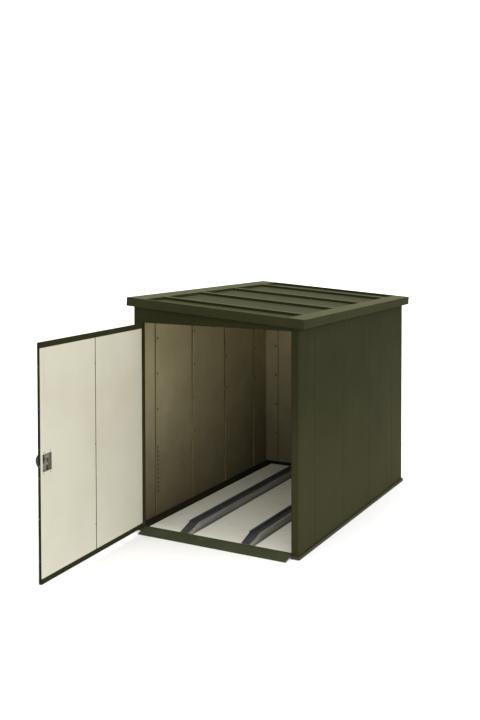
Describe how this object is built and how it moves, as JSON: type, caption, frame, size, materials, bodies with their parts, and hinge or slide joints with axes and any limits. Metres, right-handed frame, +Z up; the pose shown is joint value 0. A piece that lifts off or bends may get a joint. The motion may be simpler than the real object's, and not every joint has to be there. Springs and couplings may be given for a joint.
{
  "type": "bicycle shelter",
  "caption": "Sheet-steel bicycle shelter with a pent roof, a hinged door with a rod lock, a sill ramp and wheel rails on a raised floor.",
  "frame": {"origin": "on the ground under the middle of the wall outline", "axes": "+Z up, the doorway faces -Y, the low side of the roof is at +X"},
  "size_m": [1.3482, 3.196, 1.6188],
  "materials": {
    "wall_paint": "satin olive green powder coat",
    "roof_paint": "satin olive green powder coat",
    "trim_paint": "satin grey-green powder coat",
    "floor_paint": "satin off-white",
    "joist_steel": "galvanised",
    "cream_paint": "satin cream powder coat",
    "rail_paint": "satin grey",
    "handle_coat": "satin black",
    "barrel_plating": "plated",
    "fixing_zinc": "zinc plated",
    "lock_zinc": "galvanised"
  },
  "bodies": {
    "shelter": {"roof_panel_1": "roof_paint", "roof_panel_2": "roof_paint", "roof_panel_3": "roof_paint", "roof_panel_4": "roof_paint", "roof_panel_5": "roof_paint", "roof_cap_1": "roof_paint", "roof_cap_2": "roof_paint", "roof_cap_3": "roof_paint", "roof_cap_4": "roof_paint", "fascia_left": "roof_paint", "fascia_right": "roof_paint", "fascia_front": "roof_paint", "fascia_back": "roof_paint", "top_rail_left": "trim_paint", "top_rail_right": "trim_paint", "top_rail_back": "trim_paint", "corner_panel_front_right": "wall_paint", "corner_panel_front_left": "wall_paint", "right_wall_panel_1": "wall_paint", "left_wall_panel_1": "wall_paint", "right_wall_panel_2": "wall_paint", "left_wall_panel_2": "wall_paint", "right_wall_panel_3": "wall_paint", "left_wall_panel_3": "wall_paint", "corner_panel_back_right": "wall_paint", "back_wall_panel_1": "wall_paint", "back_wall_panel_2": "wall_paint", "corner_panel_back_left": "wall_paint", "header_panel": "wall_paint", "strike_plate": "lock_zinc", "wall_seam_screws": "fixing_zinc", "base_rail_left": "trim_paint", "base_rail_right": "trim_paint", "base_rail_back": "trim_paint", "floor_joists": "joist_steel", "floor_panel_front": "floor_paint", "floor_panel_back": "floor_paint", "sill_ramp": "trim_paint", "bike_rail_left": "rail_paint", "bike_rail_right": "rail_paint", "hinge_post_leaves": "fixing_zinc", "hinge_pins": "fixing_zinc"},
    "door": {"door_outer_skin": "wall_paint", "door_inner_panel_hinge_side": "cream_paint", "door_inner_panel_lock_side": "cream_paint", "door_top_rail": "wall_paint", "door_bottom_rail": "wall_paint", "hinge_door_leaves": "fixing_zinc", "lock_case": "lock_zinc", "handle_rose": "handle_coat"},
    "handle": {"turn_handle": "handle_coat", "lock_cam": "lock_zinc"},
    "key_barrel": {"lock_barrel": "barrel_plating"},
    "top_rod": {"lock_rod_top": "lock_zinc"},
    "bottom_rod": {"lock_rod_bottom": "lock_zinc"},
    "centre_bolt": {"centre_bolt": "lock_zinc"}
  },
  "joints": [
    {"name": "door_swing", "type": "hinge", "parent": "shelter", "child": "door", "pos_m": [-0.5675, -1.0185, 0.737], "axis": [0, 0, -1], "range_deg": [-87, 82]},
    {"name": "handle_turn", "type": "hinge", "parent": "door", "child": "handle", "pos_m": [-0.50548, -2.09673, 0.737], "axis": [-0.9986, -0.0523, 0], "range_deg": [0, 90]},
    {"name": "top_rod_slide", "type": "slide", "parent": "door", "child": "top_rod", "axis": [0, 0, 1], "range_m": [0, 0.02121]},
    {"name": "bottom_rod_slide", "type": "slide", "parent": "door", "child": "bottom_rod", "axis": [0, 0, -1], "range_m": [0, 0.02121]},
    {"name": "centre_bolt_slide", "type": "slide", "parent": "door", "child": "centre_bolt", "axis": [0.0523, -0.9986, 0], "range_m": [0, 0.02121]},
    {"name": "key_turn", "type": "hinge", "parent": "handle", "child": "key_barrel", "pos_m": [-0.56341, -2.09977, 0.737], "axis": [-0.9986, -0.0523, 0], "range_deg": [0, 90]}
  ],
  "couplings": [
    {"joint": "top_rod_slide", "follows": "handle_turn", "m_per_rad": 0.013505},
    {"joint": "bottom_rod_slide", "follows": "handle_turn", "m_per_rad": 0.013505},
    {"joint": "centre_bolt_slide", "follows": "handle_turn", "m_per_rad": 0.013505}
  ]
}
